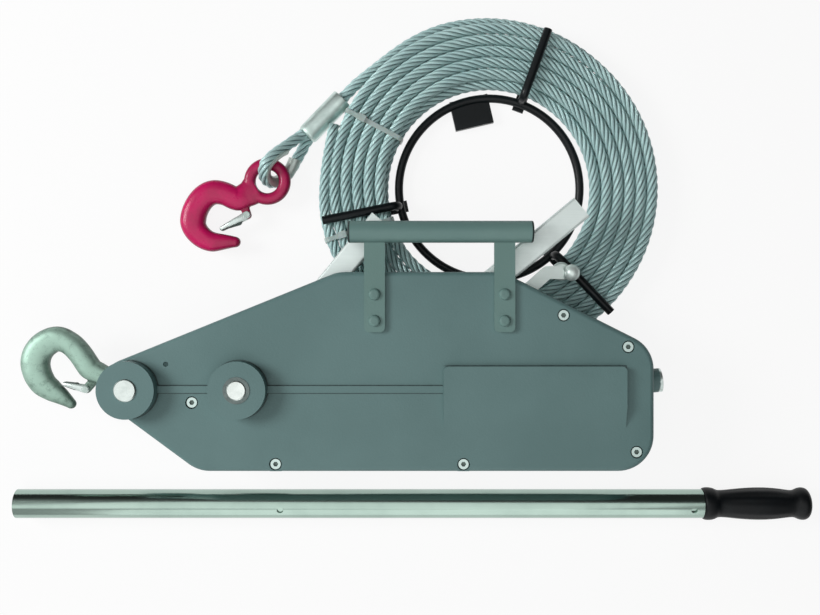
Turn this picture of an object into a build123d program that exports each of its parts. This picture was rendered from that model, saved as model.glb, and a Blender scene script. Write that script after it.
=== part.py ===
from build123d import *
import math
import os

import numpy as np

# Wire rope pulling hoist, laid out as a kit: the hoist on its back, its rope on a reel, its lever beside it.
# +Z is up from the floor, +X runs along the casing to the rope inlet, +Y points towards the levers.
# The origin is on the floor under the anchor pin. All sizes are in millimetres and degrees.

os.makedirs("parts", exist_ok=True)

# Casing: two pressed half shells that meet on the parting plane
casing_depth = 60.0
sheet = 3.0
rim_radius = 5.0
nose_radius = 30.0
casing_right = 514.0
casing_top = 115.0
casing_bottom = -80.6
top_left_x = 203.6
top_right_x = 365.6
shoulder_y = 40.6
bottom_left_x = 66.6
nose_line_offset = 25.4
top_left_radius = 37.0
top_right_radius = 6.0
shoulder_radius = 34.0
bottom_right_radius = 35.0
bottom_left_radius = 35.0
boss_radius = 28.0
boss_height = 16.0
rib_width = 6.8
rib_height = 2.0
panel_left = 307.5
panel_right = 485.8
panel_top = 22.7
panel_fold = -17.6
panel_foot = -38.0
panel_height = 7.0
panel_corner = 5.0
lever_slot_left = 70.0
lever_slot_right = 420.0
slot_flange = 10.5
oil_hole_radius = 2.5
oil_hole_at = (35.6, 24.6)

# Pins, with the rear ends standing on the floor
anchor_pin_radius = 11.0
pivot_pin_radius = 9.5
pin_foot = 10.5
pin_proud = 1.7
bush_radius = 13.0
bush_proud = 0.6
ring_thickness = 2.4
ring_width = 5.0
running = 0.05
clear = 0.3

# Cover screws
screw_places = [(60.9, -13.0), (143.0, -73.3), (327.0, -73.4), (496.5, -61.5), (488.3, 41.5), (425.0, 72.5)]
screw_radius = 3.0
screw_head_radius = 5.0
screw_head_height = 4.0
screw_key_radius = 2.6
cup_radius = 6.2
cup_depth = 5.0
post_radius = 7.0
post_grip = 20.0

# Carry handle
carry_radius = 10.75
carry_wall = 2.0
carry_left = 216.0
carry_right = 393.0
carry_y = 154.0
plug_flange = 2.0
plug_length = 12.0
strap_places = (240.0, 367.0)
strap_width = 20.4
strap_thickness = 4.0
strap_bottom = 56.0
strap_corner = 5.0
rivet_rows = (92.9, 67.0)
rivet_head_radius = 5.8
rivet_head_height = 3.2
rivet_radius = 3.0

# Levers: zinc-plated tube arms on cranks, each in its own plane
pivot_x = 107.3
forward_x = 228.0
lever_width = 24.5
lever_thickness = 14.0
lever_wall = 2.5
lever_corner = 3.0
reverse_angle = 50.7
reverse_length = 218.0
forward_angle = 39.6
forward_length = 281.6
lever_swing = 55.0
arm_start = 36.0
tang_length = 34.0
crank_throw = 24.0
reverse_throw = 26.0
reverse_gap = 10.5
link_thickness = 5.0
link_height = 21.0
link_post_x = 175.0
link_post_radius = 4.0
crank_pin_radius = 4.0
crank_pin_play = 0.5
hub_radius = 17.0
reverse_hub_radius = 20.0
lobe_radius = 8.0
lever_pin_radius = 9.0
standoff_wall = 3.0
tie_pin_radius = 3.0

# Rope and the grips inside
rope_diameter = 11.0
rope_slope = 5.7
guide_past = 6.0
guide_y = 6.0
guide_radius = 12.0
guide_bore_radius = 6.5
guide_length = 34.0
guide_out = 8.0
plate_thickness = 4.0
plate_clear = 4.0
lever_clear = 1.5
rear_plate_clear = 2.0
front_jaw_start = -96.0
front_jaw_length = 49.0
rear_jaw_start = 130.0
rear_jaw_length = 70.0
jaw_height = 13.0
jaw_parting = 0.6
jaw_groove_radius = 5.6
jaw_lift = 3.0
jaw_spring_solid = 6.0
jaw_spring_radius = 5.0
jaw_spring_wire = 1.5
spring_bar_width = 10.0
spring_bar_height = 6.0
guide_rod_radius = 3.5
guide_rod_offset = 9.6
carrier_half_height = 29.0
drawbar_half_height = 10.0

# Release lever
release_at = (352.0, 60.0)
release_elbow = (414.0, 115.5)
release_knob_at = (439.0, 115.5)
release_width = 13.0
release_thickness = 6.0
release_bottom_gap = 16.5
release_hub_radius = 11.0
release_pin_radius = 5.0
release_head_radius = 8.0
release_head_height = 4.0
release_tail = 28.0
knob_radius = 8.5
knob_neck_radius = 5.5
knob_neck_length = 6.0
knob_collar_at = (429.0, 117.0)
knob_collar_radius = 9.5
knob_collar_height = 6.0

# Anchor hook: eye on the anchor pin and a forged bowl through stations of x, y, heading, width and depth
hook_thickness = 20.0
anchor_eye_radius = 23.0
anchor_stations = [
    (-8.0, 3.0, 165.0, 26.0, 18.0),
    (-48.8, 20.0, 125.0, 24.0, 20.0),
    (-81.0, 48.2, 183.0, 25.6, 21.0),
    (-103.0, 25.0, 268.0, 28.5, 21.0),
    (-86.0, -3.7, 325.0, 22.0, 18.0),
    (-66.7, -17.3, 321.0, 9.5, 11.0),
]
anchor_latch_at = (-51.4, -2.0)
anchor_latch_end = (-72.5, 3.0)
anchor_lug_root = (-40.0, 11.0)
hook_nose = 0.5
latch_root_radius = 4.6
latch_end_radius = 2.5
latch_sheet = 2.0
latch_lug = 6.0
latch_pin_radius = 2.0

# Load hook: ring on the rope eye and a forged bowl
load_ring_radius = 18.3
load_ring_width = 12.4
load_ring_depth = 11.0
load_stations = [
    (117.0, 206.5, 209.0, 34.0, 11.5),
    (92.8, 193.4, 165.0, 24.0, 16.0),
    (70.7, 200.6, 183.0, 25.5, 19.0),
    (47.8, 170.8, 268.0, 27.0, 20.0),
    (69.9, 148.6, 358.0, 20.4, 17.0),
    (91.4, 148.6, 356.0, 11.5, 11.5),
]
load_latch_at = (104.5, 176.6)
load_latch_end = (78.5, 162.6)
load_lug_root = (100.0, 190.0)

# Rope: a two layer coil, a ferrule and an eye with its thimble
coil_at = (358.5, 205.6)
coil_pitch = 11.9
coil_outer_radius = 170.5
coil_turns_in = 5.25
coil_turns = 10.91
coil_start_angle = 136.0
coil_layer = 11.5
ferrule_radius = 11.3
ferrule_from = (165.6, 260.9)
ferrule_to = (203.4, 300.2)
ferrule_z = 11.8
eye_leg_gap = 0.2
eye_lead = 6.0
eye_length = 46.0
eye_half_width = 17.0
eye_tilt = 55.0
eye_floor_gap = 0.2
thimble_wall = 1.5
eye_turn = 4.0
ring_turn = 2.0
rim_past_eye = -0.9

# Reel: three arms under the coil, a ring inside it and three bars over it, each with its angle and reach
reel_bars = [(70.0, 2.5), (191.5, 7.5), (313.6, 9.5)]
reel_rod_radius = 4.4
reel_ring_gap = 2.5
reel_arm_thickness = 3.2
reel_post_past = 2.5
reel_bend = 8.0
reel_arm_width = 12.0
reel_arm_inside = 7.5
reel_arm_past = 1.5
tab_length = 41.0
tab_width = 31.0
tab_height = 7.0
tab_over = 3.0
tab_foot = 1.0
tab_angle = 103.0
tie_angles = (152.0, 198.0)
tie_width = 4.8
tie_thickness = 1.2
tie_corner = 4.0
tie_head = (9.0, 7.0, 5.0)

# Operating lever: two telescopic tubes, a sprung button and a grip
handle_y = -125.5
handle_radius = 15.0
handle_left = -137.0
handle_right = 580.0
handle_bore = 13.2
socket_bore = 13.4
socket_depth = 110.0
inner_radius = 12.9
inner_wall = 1.8
inner_left = 125.0
grip_left_gap = 0.3
grip_insert = 20.0
grip_length = 112.7
grip_end_radius = 17.0
grip_collar_length = 15.0
grip_waist_radius = 13.75
grip_belly_x = 61.0
button_places = (140.0, 569.0)
button_roll = 17.0
button_radius = 3.0
button_flange_radius = 4.0
button_flange_thickness = 1.5
button_travel = 3.5
leaf_thickness = 0.8
leaf_width = 6.0
leaf_length = 30.0

# Heights that follow from the stack of pieces
rear_face = boss_height + pin_foot
front_face = rear_face + casing_depth
parting = rear_face + casing_depth / 2
rear_inside = rear_face + sheet
front_inside = front_face - sheet
front_plate_top = front_inside - plate_clear
front_plate_bottom = front_plate_top - plate_thickness
forward_top = front_plate_bottom - lever_clear
forward_bottom = forward_top - lever_thickness
rope_z = forward_bottom - lever_clear - rope_diameter / 2
jaw_spring_length = jaw_spring_solid + jaw_lift
rear_plate_bottom = rear_inside + rear_plate_clear
rear_plate_top = rear_plate_bottom + plate_thickness
reverse_bottom = rear_inside + reverse_gap
reverse_top = reverse_bottom + lever_thickness
release_bottom = rear_inside + release_bottom_gap
release_top = release_bottom + release_thickness

nodes = {}


def cylinder_z(x, y, z0, z1, radius):
    """Upright cylinder between two heights."""
    return Pos(x, y, (z0 + z1) / 2) * Cylinder(radius, z1 - z0)


def tube_z(x, y, z0, z1, outer, inner):
    """Upright sleeve between two heights."""
    return cylinder_z(x, y, z0, z1, outer) - cylinder_z(x, y, z0, z1, inner)


def slab(sketch, z0, z1):
    """A flat shape given its thickness between two heights."""
    return extrude(Pos(0, 0, z0) * sketch, amount=z1 - z0)


def polygon(points):
    """A flat shape with straight sides."""
    return make_face(Polyline(*points, close=True).edges())


def strip(a, b, width_a, width_b=None):
    """A flat bar with round ends, wide width_a at point a and width_b at point b."""
    ends = Pos(*a) * Circle(width_a / 2) + Pos(*b) * Circle((width_b or width_a) / 2)
    return make_hull(ends.edges())


def bar_x(x0, x1, y, z, radius):
    """Round bar along X."""
    return Pos((x0 + x1) / 2, y, z) * Rot(0, 90, 0) * Cylinder(radius, x1 - x0)


def biarc(p0, t0, p1, t1):
    """Two tangent arcs that leave p0 along t0 and reach p1 along t1."""
    p0, t0, p1, t1 = Vector(p0), Vector(t0).normalized(), Vector(p1), Vector(t1).normalized()
    v = p1 - p0
    t = t0 + t1
    turn = 2 * (1 - t0.dot(t1))
    along = v.dot(t)
    if turn < 1e-9:
        reach = v.dot(v) / (2 * along)
    else:
        reach = (math.sqrt(along**2 + turn * v.dot(v)) - along) / turn
    corner0 = p0 + t0 * reach
    corner1 = p1 - t1 * reach
    middle = (corner0 + corner1) * 0.5
    first = Edge.make_tangent_arc(p0, t0, middle)
    second = Edge.make_tangent_arc(middle, corner1 - corner0, p1)
    return [first, second]


def swept(edges, section):
    """Sweep a flat section, drawn about its own centre, along joined edges."""
    path = Wire(edges)
    plane = Plane(path @ 0, z_dir=path % 0)
    return sweep(plane * section, path=path)


# Casing halves

left_tangent_angle = math.degrees(math.atan2(casing_top, top_left_x)) - math.degrees(
    math.asin(nose_radius / math.hypot(casing_top, top_left_x))
)


def casing_outline():
    """Side view of the casing: round nose at the anchor pin, sloping top ends, flat bottom."""
    rise = math.radians(left_tangent_angle)
    nose_top = (-nose_radius * math.sin(rise), nose_radius * math.cos(rise))
    fall = math.atan2(casing_bottom, bottom_left_x)
    fall += math.asin(nose_line_offset / math.hypot(casing_bottom, bottom_left_x))
    nose_low = (nose_line_offset * math.sin(fall), -nose_line_offset * math.cos(fall))
    corners = [
        (top_left_x, casing_top, top_left_radius),
        (top_right_x, casing_top, top_right_radius),
        (casing_right, shoulder_y, shoulder_radius),
        (casing_right, casing_bottom, bottom_right_radius),
        (bottom_left_x, casing_bottom, bottom_left_radius),
    ]
    shape = polygon([nose_top] + [(x, y) for x, y, radius in corners] + [nose_low])
    for x, y, radius in corners:
        shape = fillet(shape.vertices().sort_by_distance((x, y, 0))[0], radius)
    return shape + Circle(nose_radius)


outline = casing_outline()


def wall_band(x0, x1, y0, y1):
    """The strip of side wall that lies within a rectangle in the side view."""
    band = offset(outline, 1.0) - offset(outline, -sheet - rim_radius)
    window = Pos((x0 + x1) / 2, (y0 + y1) / 2) * Rectangle(x1 - x0, y1 - y0)
    return band & window


def raised_panel(inset):
    """The jaw panel on a cover: flat, then folded back to the plate along its lower side."""
    low = 0 if inset == 0 else -2 * sheet
    run = (panel_fold - panel_foot) / panel_height
    profile = [
        (panel_top - inset, low),
        (panel_top - inset, panel_height - inset),
        (panel_fold, panel_height - inset),
        (panel_fold - run * (panel_height - inset - low), low),
    ]
    start = panel_left + inset
    length = panel_right - panel_left - 2 * inset
    block = extrude(Plane.YZ.offset(start) * polygon(profile), amount=length)
    block = Pos(0, 0, front_face) * block
    if inset == 0:
        corners = block.edges().filter_by(Axis.Z).sort_by(Axis.Y)[-2:]
        block = fillet(corners, panel_corner)
    return block


def cover_shell():
    """Front half of the casing, before its holes: the rear half is its mirror image."""
    half = casing_depth / 2
    body = slab(outline, parting, front_face)
    body = fillet(body.faces().sort_by(Axis.Z)[-1].edges(), rim_radius)
    room = slab(offset(outline, -sheet), parting - 1, front_inside)
    body += raised_panel(0)
    for x in (0, pivot_x):
        body += cylinder_z(x, 0, front_inside, front_face + boss_height, boss_radius)
    for x0, x1 in ((0, pivot_x), (pivot_x, panel_left + sheet)):
        rib = Pos((x0 + x1) / 2, 0) * Rectangle(x1 - x0, rib_width)
        body += slab(rib, front_inside, front_face + rib_height)
    body -= room
    body -= raised_panel(sheet)
    body -= cylinder_z(0, 0, parting, front_face + half, anchor_pin_radius + running)
    body -= cylinder_z(pivot_x, 0, parting, front_face + half, bush_radius + running)
    hook_room = wall_band(-2 * nose_radius, 0.75 * nose_radius, -2 * nose_radius, 2 * nose_radius)
    body -= slab(hook_room, parting - half, parting + hook_thickness / 2 + 3)
    lever_room = wall_band(lever_slot_left, lever_slot_right, shoulder_y, 2 * casing_top)
    body -= slab(lever_room, parting - half, front_face - slot_flange)
    return body


# The rope line through the casing, and a frame on it: s along the rope, v across it, z up

slope = math.radians(rope_slope)
rope_dir = (math.cos(slope), math.sin(slope))
guide_x = casing_right + guide_past
foot_s = (forward_x - guide_x) * rope_dir[0] - guide_y * rope_dir[1]
crank_over_rope = -(forward_x - guide_x) * rope_dir[1] - guide_y * rope_dir[0]
grip_origin = (guide_x + foot_s * rope_dir[0], guide_y + foot_s * rope_dir[1])
grip_frame = Pos(grip_origin[0], grip_origin[1], 0) * Rot(0, 0, rope_slope)


def on_rope_line(s0, s1, radius):
    """Round bar on the rope line between two places along it."""
    return grip_frame * bar_x(s0, s1, 0, rope_z, radius)


guide_s = -foot_s
guide_inner = guide_s + guide_out - guide_length

inlet_hole = on_rope_line(guide_s - 3 * guide_radius, guide_s + 3 * guide_radius, guide_radius + running)
outlet_hole = on_rope_line(-1.5 * forward_x, -0.7 * forward_x, guide_bore_radius + 1)

shell = cover_shell()
rear_shell = mirror(shell, about=Plane.XY.offset(parting))

front_cover = shell - inlet_hole - outlet_hole
casing_block = slab(outline, rear_face, front_face)
for x, y in screw_places:
    cup = cylinder_z(x, y, front_face - cup_depth - sheet, front_inside, cup_radius + sheet)
    front_cover += cup & casing_block
    front_cover -= cylinder_z(x, y, front_face - cup_depth, front_face + 1, cup_radius)
    front_cover -= cylinder_z(x, y, parting, front_face, screw_radius + clear)
for x in strap_places:
    for y in rivet_rows:
        front_cover -= cylinder_z(x, y, parting, front_face + 1, rivet_radius + running)
front_cover -= cylinder_z(*oil_hole_at, parting, front_face + 1, oil_hole_radius)
nodes["front_cover"] = front_cover

rear_cover = rear_shell - inlet_hole - outlet_hole
post_top = front_face - cup_depth - sheet
casing_room = slab(offset(outline, -sheet - clear), rear_face, front_face)
for x, y in screw_places:
    rear_cover += cylinder_z(x, y, rear_inside - 1, post_top, post_radius) & casing_room
    rear_cover -= cylinder_z(x, y, post_top - post_grip - 1, post_top, screw_radius + running)
for x, y, top, radius in (
    (forward_x, 0, forward_bottom - clear, lever_pin_radius),
    (*release_at, release_bottom - clear, release_pin_radius),
):
    rear_cover += cylinder_z(x, y, rear_inside - 1, top, radius + standoff_wall)
    rear_cover -= cylinder_z(x, y, rear_inside, top, radius + running)
nodes["rear_cover"] = rear_cover


def cover_screw(x, y):
    """Socket head screw, sunk in its cup and threaded into its post."""
    seat = front_face - cup_depth
    screw = cylinder_z(x, y, seat, seat + screw_head_height, screw_head_radius)
    screw += cylinder_z(x, y, post_top - post_grip, seat, screw_radius)
    key = Pos(x, y) * RegularPolygon(screw_key_radius, 6)
    return screw - slab(key, seat + screw_head_height / 2, seat + screw_head_height + 1)


nodes["cover_screws"] = Compound([cover_screw(x, y) for x, y in screw_places])

guide = on_rope_line(guide_inner, guide_s + guide_out, guide_radius)
guide -= on_rope_line(guide_inner - 1, guide_s + guide_out + 1, guide_bore_radius)
nodes["rope_guide"] = guide

# Pins at the anchor and the reverse lever

pin_top = front_face + boss_height + pin_proud
ring_z = pin_foot - ring_thickness


def through_pin(x, radius):
    """Plain pin through both bosses, grooved at the rear for its ring."""
    pin = chamfer(cylinder_z(x, 0, 0, pin_top, radius).faces().sort_by(Axis.Z)[-1].edges(), 1.0)
    return pin - tube_z(x, 0, ring_z, pin_foot, radius + 1, radius - 1)


nodes["anchor_pin"] = through_pin(0, anchor_pin_radius)
nodes["pivot_pin"] = through_pin(pivot_x, pivot_pin_radius)
rings = []
for x, radius in ((0, anchor_pin_radius), (pivot_x, pivot_pin_radius)):
    ring = tube_z(x, 0, ring_z, pin_foot, radius + ring_width, radius - 1 + running)
    rings.append(ring)
nodes["pin_rings"] = Compound(rings)

hook_bottom = parting - hook_thickness / 2
hook_top = parting + hook_thickness / 2
spacer_radius = anchor_pin_radius + ring_width
spacers = []
for z0, z1 in ((rear_inside, hook_bottom - clear), (hook_top + clear, front_inside)):
    spacers.append(tube_z(0, 0, z0, z1, spacer_radius, anchor_pin_radius + running))
nodes["anchor_spacers"] = Compound(spacers)

bushes = []
bush_top = front_face + boss_height + bush_proud
for z0, z1 in ((pin_foot, reverse_bottom - clear), (reverse_top + clear, bush_top)):
    bushes.append(tube_z(pivot_x, 0, z0, z1, bush_radius, pivot_pin_radius + running))
nodes["pivot_bushes"] = Compound(bushes)

# Carry handle on the front cover

carry_z = front_face + strap_thickness / 2
carry_bore = carry_radius - carry_wall
handle_tube = bar_x(carry_left, carry_right, carry_y, carry_z, carry_radius)
handle_tube -= bar_x(carry_left - 1, carry_right + 1, carry_y, carry_z, carry_bore)
nodes["carry_handle_tube"] = handle_tube

plugs = []
for x, side in ((carry_left, -1), (carry_right, 1)):
    flange_ends = sorted((x, x + side * plug_flange))
    spigot_ends = sorted((x, x - side * plug_length))
    cap = bar_x(*flange_ends, carry_y, carry_z, carry_radius)
    cap = fillet(cap.faces().sort_by(Axis.X)[-1 if side > 0 else 0].edges(), 0.8 * plug_flange)
    spigot = bar_x(*spigot_ends, carry_y, carry_z, carry_bore - running)
    plugs.append(cap + spigot)
nodes["handle_end_plugs"] = Compound(plugs)

straps = []
rivets = []
for x in strap_places:
    blade = Pos(x, (strap_bottom + carry_y) / 2) * Rectangle(strap_width, carry_y - strap_bottom)
    blade = fillet(blade.vertices().sort_by(Axis.Y)[:2], strap_corner)
    strap = slab(blade, front_face, front_face + strap_thickness)
    strap -= bar_x(carry_left, carry_right, carry_y, carry_z, carry_radius)
    for y in rivet_rows:
        strap -= cylinder_z(x, y, front_face - 1, carry_z + strap_thickness, rivet_radius + running)
        head_z = front_face + strap_thickness
        dome = Pos(x, y, head_z) * Cylinder(rivet_head_radius, 2 * rivet_head_height)
        dome = fillet(dome.faces().sort_by(Axis.Z)[-1].edges(), 0.9 * rivet_head_height)
        dome &= cylinder_z(x, y, head_z, head_z + rivet_head_height, rivet_head_radius)
        shank = cylinder_z(x, y, front_inside - 0.5 * rivet_head_height, head_z, rivet_radius)
        tail = cylinder_z(x, y, front_inside - 0.5 * rivet_head_height, front_inside, 1.5 * rivet_radius)
        rivets.append(dome + shank + tail)
    straps.append(strap)
nodes["carry_straps"] = Compound(straps)
nodes["strap_rivets"] = Compound(rivets)

# Levers and cranks


def turned(part, x, y, angle):
    """Turn a piece drawn along X at the origin to its angle and put it on its pivot."""
    return Pos(x, y, 0) * Rot(0, 0, angle) * part


tie_pin_places = (arm_start + 0.3 * tang_length, arm_start + 0.7 * tang_length)


def lever_arm(length, bottom):
    """Rectangular tube arm, open at its far end, with holes for its two pins."""
    middle = bottom + lever_thickness / 2
    plane = Plane.YZ.offset(arm_start)
    section = RectangleRounded(lever_width, lever_thickness, lever_corner)
    outer = extrude(plane * section, amount=length - arm_start)
    bore = Rectangle(lever_width - 2 * lever_wall, lever_thickness - 2 * lever_wall)
    inner = extrude(plane * bore, amount=length - arm_start)
    arm = Pos(0, 0, middle) * (outer - inner)
    for x in tie_pin_places:
        arm -= cylinder_z(x, 0, bottom, bottom + lever_thickness, tie_pin_radius + running)
    return arm


def lever_crank(radius, bottom, bore):
    """Hub with a neck as wide as the arm and a tang that fits inside it."""
    middle = bottom + lever_thickness / 2
    hub = slab(Circle(radius), bottom, bottom + lever_thickness)
    neck = Pos(arm_start / 2, 0, middle) * Box(arm_start, lever_width - lever_corner, lever_thickness)
    tang_width = lever_width - 2 * lever_wall - 2 * running
    tang_height = lever_thickness - 2 * lever_wall - 2 * running
    tang_end = arm_start + tang_length
    tang = Pos(tang_end / 2, 0, middle) * Box(tang_end, tang_width, tang_height)
    crank = hub + neck + tang - cylinder_z(0, 0, bottom, bottom + lever_thickness, bore)
    for x in tie_pin_places:
        crank -= cylinder_z(x, 0, bottom, bottom + lever_thickness, tie_pin_radius + running)
    return crank


def tie_pins(bottom):
    """The two pins that hold an arm on its crank."""
    return [cylinder_z(x, 0, bottom, bottom + lever_thickness, tie_pin_radius) for x in tie_pin_places]


def crank_at(throw, angle):
    """Where a crank pin stands about its pivot."""
    return (throw * math.cos(math.radians(angle)), throw * math.sin(math.radians(angle)))


half_swing = lever_swing / 2
crank_rest = 90 + rope_slope - half_swing
upper_pin = crank_at(crank_throw, crank_rest)
lower_pin = crank_at(crank_throw, crank_rest + 180)
crank_drop = crank_throw * (1 - math.cos(math.radians(half_swing)))
crank_lead = crank_throw * math.sin(math.radians(half_swing))

bore = lever_pin_radius + running
forward_crank = turned(lever_crank(hub_radius, forward_bottom, bore), forward_x, 0, forward_angle)
forward_crank += Pos(forward_x, 0, 0) * (
    slab(strip(upper_pin, lower_pin, 2 * lobe_radius), forward_bottom, forward_top)
    - cylinder_z(0, 0, forward_bottom, forward_top, bore)
)
for x, y in (upper_pin, lower_pin):
    crank_pin_top = front_plate_top + crank_pin_play
    forward_crank += cylinder_z(forward_x + x, y, forward_top, crank_pin_top, crank_pin_radius)
nodes["forward_crank"] = forward_crank
nodes["forward_lever"] = turned(lever_arm(forward_length, forward_bottom), forward_x, 0, forward_angle)
nodes["shear_pins"] = turned(Compound(tie_pins(forward_bottom)), forward_x, 0, forward_angle)
nodes["forward_lever_pin"] = cylinder_z(forward_x, 0, rear_inside, front_inside, lever_pin_radius)

reverse_rest = 90 - half_swing
reverse_pin = crank_at(reverse_throw, reverse_rest)
link_top = reverse_bottom - lever_clear
link_bottom = link_top - link_thickness
bore = pivot_pin_radius + running
reverse_crank = turned(lever_crank(reverse_hub_radius, reverse_bottom, bore), pivot_x, 0, reverse_angle)
reverse_crank += Pos(pivot_x, 0, 0) * (
    slab(strip((0, 0), reverse_pin, 2 * lobe_radius), reverse_bottom, reverse_top)
    - cylinder_z(0, 0, reverse_bottom, reverse_top, bore)
)
pin_x = pivot_x + reverse_pin[0]
reverse_crank += cylinder_z(pin_x, reverse_pin[1], link_bottom, reverse_bottom, crank_pin_radius)
nodes["reverse_crank"] = reverse_crank
nodes["reverse_lever"] = turned(lever_arm(reverse_length, reverse_bottom), pivot_x, 0, reverse_angle)
nodes["reverse_lever_pins"] = turned(Compound(tie_pins(reverse_bottom)), pivot_x, 0, reverse_angle)

# Reversing link: a slotted bar that the reverse crank drives along X, guided on a post of the rear cover
reverse_travel = 2 * reverse_throw * math.sin(math.radians(half_swing))
link_y = (reverse_throw + reverse_pin[1]) / 2
link_slot_height = reverse_throw - reverse_pin[1] + 2 * (crank_pin_radius + crank_pin_play)
slot_width = 2 * (crank_pin_radius + crank_pin_play)
link_left = pin_x - slot_width
link_right = link_post_x + reverse_travel + 2 * link_post_radius
link_bar = RectangleRounded(link_right - link_left, link_height, lever_corner)
link = Pos((link_left + link_right) / 2, link_y) * link_bar
link -= Pos(pin_x, link_y) * Rectangle(slot_width, link_slot_height)
guide_slot = 2 * (link_post_radius + clear)
slot_length = reverse_travel + guide_slot + 2 * clear
link -= Pos(link_post_x + reverse_travel / 2, link_y) * SlotOverall(slot_length, guide_slot)
nodes["reverse_link"] = slab(link, link_bottom, link_top)
post_foot_radius = link_post_radius + standoff_wall
link_post = cylinder_z(link_post_x, link_y, rear_inside - 1, link_bottom - clear, post_foot_radius)
link_post += cylinder_z(link_post_x, link_y, rear_inside - 1, link_top + clear, link_post_radius)
nodes["rear_cover"] = nodes["rear_cover"] + link_post

# Release lever with its ball knob

release_z = (release_bottom + release_top) / 2
bar_end = (release_knob_at[0] - knob_radius - knob_neck_length, release_knob_at[1])
release = strip(release_at, release_elbow, release_width) + strip(release_elbow, bar_end, release_width)
release += Pos(*release_at) * Circle(release_hub_radius)
tail_angle = math.atan2(release_elbow[1] - release_at[1], release_elbow[0] - release_at[0])
tail_end = (
    release_at[0] - release_tail * math.sin(tail_angle),
    release_at[1] - release_tail * math.cos(tail_angle),
)
release += strip(release_at, tail_end, release_width, 0.7 * release_width)
release_lever = slab(release, release_bottom, release_top)
release_lever -= cylinder_z(*release_at, release_bottom, release_top, release_pin_radius + running)
stud_radius = release_thickness / 2
release_lever += bar_x(bar_end[0], release_knob_at[0], release_knob_at[1], release_z, stud_radius)
nodes["release_lever"] = release_lever
neck_start = bar_end[0] + release_width / 2 + clear
knob = Pos(*release_knob_at, release_z) * Sphere(knob_radius)
knob += bar_x(neck_start, release_knob_at[0], release_knob_at[1], release_z, knob_neck_radius)
collar_bottom = release_bottom - knob_collar_height
collar = cylinder_z(*knob_collar_at, collar_bottom, release_bottom - running, knob_collar_radius)
knob += fillet(collar.edges().filter_by(GeomType.CIRCLE), 0.4 * knob_collar_height)
knob -= bar_x(bar_end[0], release_knob_at[0], release_knob_at[1], release_z, stud_radius + running)
nodes["release_knob"] = knob
release_pin = cylinder_z(*release_at, rear_inside, release_top + clear, release_pin_radius)
head_z = release_top + clear
release_pin += cylinder_z(*release_at, head_z, head_z + release_head_height, release_head_radius)
nodes["release_lever_pin"] = release_pin

# Rope grips: two sliding carriers, each with a pair of grooved jaws pressed together by springs


def jaw(start, length, side):
    """Grooved block on one side of the rope, with its outer corners cut off."""
    low = rear_plate_top + clear
    high = front_plate_bottom - clear
    middle = side * (jaw_parting + jaw_height) / 2
    block = Box(length, jaw_height - jaw_parting, high - low)
    block = Pos(start + length / 2, middle, (low + high) / 2) * block
    outer = block.faces().sort_by(Axis.Y)[-1 if side > 0 else 0].edges().filter_by(Axis.Z)
    block = chamfer(outer, jaw_height / 3)
    return block - bar_x(start - 1, start + length + 1, 0, rope_z, jaw_groove_radius)


def carrier_ties(start, length):
    """Guide rods at both ends of the jaws and the bars that the springs press on."""
    rod_gap = guide_rod_radius + crank_pin_play
    ties = []
    for side in (-1, 1):
        for s in (start - rod_gap, start + length + rod_gap):
            v = side * guide_rod_offset
            ties.append(cylinder_z(s, v, rear_plate_top, front_plate_bottom, guide_rod_radius))
        v = side * (jaw_height + jaw_spring_length + spring_bar_height / 2)
        middle = (rear_plate_top + front_plate_bottom) / 2
        deep = front_plate_bottom - rear_plate_top
        ties.append(Pos(start + length / 2, v, middle) * Box(spring_bar_width, spring_bar_height, deep))
    return ties


def jaw_springs(start, length):
    """The two springs of a grip, between the jaws and their bars."""
    springs = []
    for side in (-1, 1):
        v = side * (jaw_height + jaw_spring_length / 2)
        place = Pos(start + length / 2, v, rope_z) * Rot(90, 0, 0)
        sleeve = Cylinder(jaw_spring_radius, jaw_spring_length)
        sleeve -= Cylinder(jaw_spring_radius - jaw_spring_wire, jaw_spring_length)
        springs.append(place * sleeve)
    return springs


def crank_slot(s, v):
    """Slot across the rope for a crank pin."""
    height = crank_drop + 2 * (crank_pin_radius + crank_pin_play)
    return Pos(s, v) * Rectangle(slot_width, height)


plate_end = 2 * guide_rod_radius + crank_pin_play + standoff_wall
lower_v = crank_over_rope - crank_throw + crank_drop / 2
upper_v = crank_over_rope + crank_throw - crank_drop / 2
grips = {
    "front": (front_jaw_start, front_jaw_length, -crank_lead, lower_v),
    "rear": (rear_jaw_start, rear_jaw_length, crank_lead, upper_v),
}
for grip, (start, length, pin_s, pin_v) in grips.items():
    s0 = start - plate_end
    s1 = start + length + plate_end
    window = Pos((s0 + s1) / 2, 0) * RectangleRounded(s1 - s0, 2 * carrier_half_height, lever_corner)
    far = start + length / 2
    if grip == "front":
        drawbar = strip((far, pin_v), (pin_s, pin_v), 2 * drawbar_half_height)
    else:
        near = carrier_half_height - drawbar_half_height
        drawbar = strip((pin_s, pin_v), (far, pin_v), 2 * drawbar_half_height)
        drawbar += strip((far, pin_v), (far, near), 2 * drawbar_half_height)
    front_plate = slab(window + drawbar - crank_slot(pin_s, pin_v), front_plate_bottom, front_plate_top)
    rear_plate = slab(window, rear_plate_bottom, rear_plate_top)
    nodes[f"{grip}_carrier_plates"] = grip_frame * Compound([front_plate, rear_plate])
    nodes[f"{grip}_carrier_ties"] = grip_frame * Compound(carrier_ties(start, length))
    nodes[f"{grip}_upper_jaw"] = grip_frame * jaw(start, length, 1)
    nodes[f"{grip}_lower_jaw"] = grip_frame * jaw(start, length, -1)
    nodes[f"{grip}_jaw_springs"] = grip_frame * Compound(jaw_springs(start, length))

# Hooks


def heading(angle):
    """Unit direction in the XY plane."""
    return (math.cos(math.radians(angle)), math.sin(math.radians(angle)), 0)


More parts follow.
